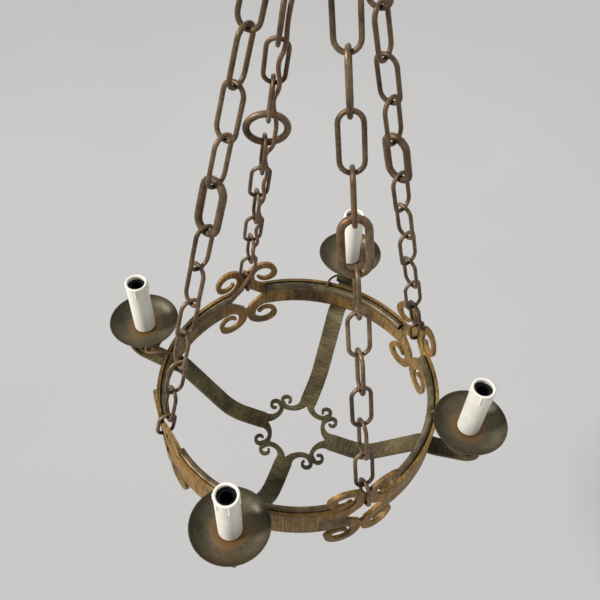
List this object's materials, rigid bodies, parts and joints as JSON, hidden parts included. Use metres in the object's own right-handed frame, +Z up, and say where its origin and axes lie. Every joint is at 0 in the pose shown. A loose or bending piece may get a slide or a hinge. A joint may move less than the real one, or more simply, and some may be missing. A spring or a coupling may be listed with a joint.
{
  "type": "chandelier",
  "caption": "Wrought iron wagon wheel chandelier with scrolled ring, candle lights on rolled arms, hung from chains.",
  "frame": {"origin": "centre of the bracket face that meets the ceiling", "axes": "+Z up into the ceiling, +X along one spoke, the bracket screws lie along X"},
  "size_m": [0.5228, 0.5228, 0.8811],
  "materials": {
    "cable_brown": "brown sheath",
    "candle_cream": "cream candle tube with wax drips",
    "chain_bronze": "brown bronze finish",
    "fixing_steel": "plain steel",
    "holder_black": "black moulded plastic",
    "iron_bronze": "hammered iron with a golden brown bronze finish",
    "pan_bronze": "olive bronze patina with brown patches",
    "terminal_white": "white plastic",
    "tube_bronze": "brown bronze finish"
  },
  "bodies": {
    "ceiling_fitting": {"ceiling_bracket": "fixing_steel", "ceiling_hook": "fixing_steel", "hook_nut": "fixing_steel", "ceiling_rose": "iron_bronze", "terminal_block": "terminal_white"},
    "ring": {"top_ring": "chain_bronze"},
    "wheel": {"conduit_tube_back": "tube_bronze", "conduit_tube_front": "tube_bronze", "conduit_tube_left": "tube_bronze", "conduit_tube_right": "tube_bronze", "connector_link_back_left": "chain_bronze", "connector_link_back_right": "chain_bronze", "connector_link_front_left": "chain_bronze", "connector_link_front_right": "chain_bronze", "drip_pan_back": "pan_bronze", "drip_pan_front": "pan_bronze", "drip_pan_left": "pan_bronze", "drip_pan_right": "pan_bronze", "end_link_back_left": "chain_bronze", "end_link_back_right": "chain_bronze", "end_link_front_left": "chain_bronze", "end_link_front_right": "chain_bronze", "lamp_lead_back": "cable_brown", "lamp_lead_front": "cable_brown", "lamp_lead_left": "cable_brown", "lamp_lead_right": "cable_brown", "lampholder_back": "holder_black", "lampholder_front": "holder_black", "lampholder_left": "holder_black", "lampholder_right": "holder_black", "lock_nuts": "fixing_steel", "lower_links_back_left": "chain_bronze", "lower_links_back_right": "chain_bronze", "lower_links_front_left": "chain_bronze", "lower_links_front_right": "chain_bronze", "nipple_back": "fixing_steel", "nipple_front": "fixing_steel", "nipple_left": "fixing_steel", "nipple_right": "fixing_steel", "ring_segment_back": "iron_bronze", "ring_segment_front": "iron_bronze", "ring_segment_left": "iron_bronze", "ring_segment_right": "iron_bronze", "spacer_collar_back": "iron_bronze", "spacer_collar_front": "iron_bronze", "spacer_collar_left": "iron_bronze", "spacer_collar_right": "iron_bronze", "spoke_back": "iron_bronze", "spoke_front": "iron_bronze", "spoke_left": "iron_bronze", "spoke_right": "iron_bronze", "supply_cable": "cable_brown", "upper_links_back_left": "chain_bronze", "upper_links_back_right": "chain_bronze", "upper_links_front_left": "chain_bronze", "upper_links_front_right": "chain_bronze"},
    "sleeve_right": {"candle_sleeve_right": "candle_cream"},
    "sleeve_back": {"candle_sleeve_back": "candle_cream"},
    "sleeve_left": {"candle_sleeve_left": "candle_cream"},
    "sleeve_front": {"candle_sleeve_front": "candle_cream"}
  },
  "joints": [
    {"name": "ring_swing", "type": "hinge", "parent": "ceiling_fitting", "child": "ring", "pos_m": [0, 0, -0.042], "axis": [0, 1, 0], "range_deg": [-8, 8]},
    {"name": "wheel_swing", "type": "hinge", "parent": "ring", "child": "wheel", "pos_m": [0, 0, -0.0842], "axis": [1, 0, 0], "range_deg": [-8, 8]},
    {"name": "sleeve_lift_right", "type": "slide", "parent": "wheel", "child": "sleeve_right", "axis": [0, 0, 1], "range_m": [0, 0.09]},
    {"name": "sleeve_lift_back", "type": "slide", "parent": "wheel", "child": "sleeve_back", "axis": [0, 0, 1], "range_m": [0, 0.09]},
    {"name": "sleeve_lift_left", "type": "slide", "parent": "wheel", "child": "sleeve_left", "axis": [0, 0, 1], "range_m": [0, 0.09]},
    {"name": "sleeve_lift_front", "type": "slide", "parent": "wheel", "child": "sleeve_front", "axis": [0, 0, 1], "range_m": [0, 0.09]}
  ]
}
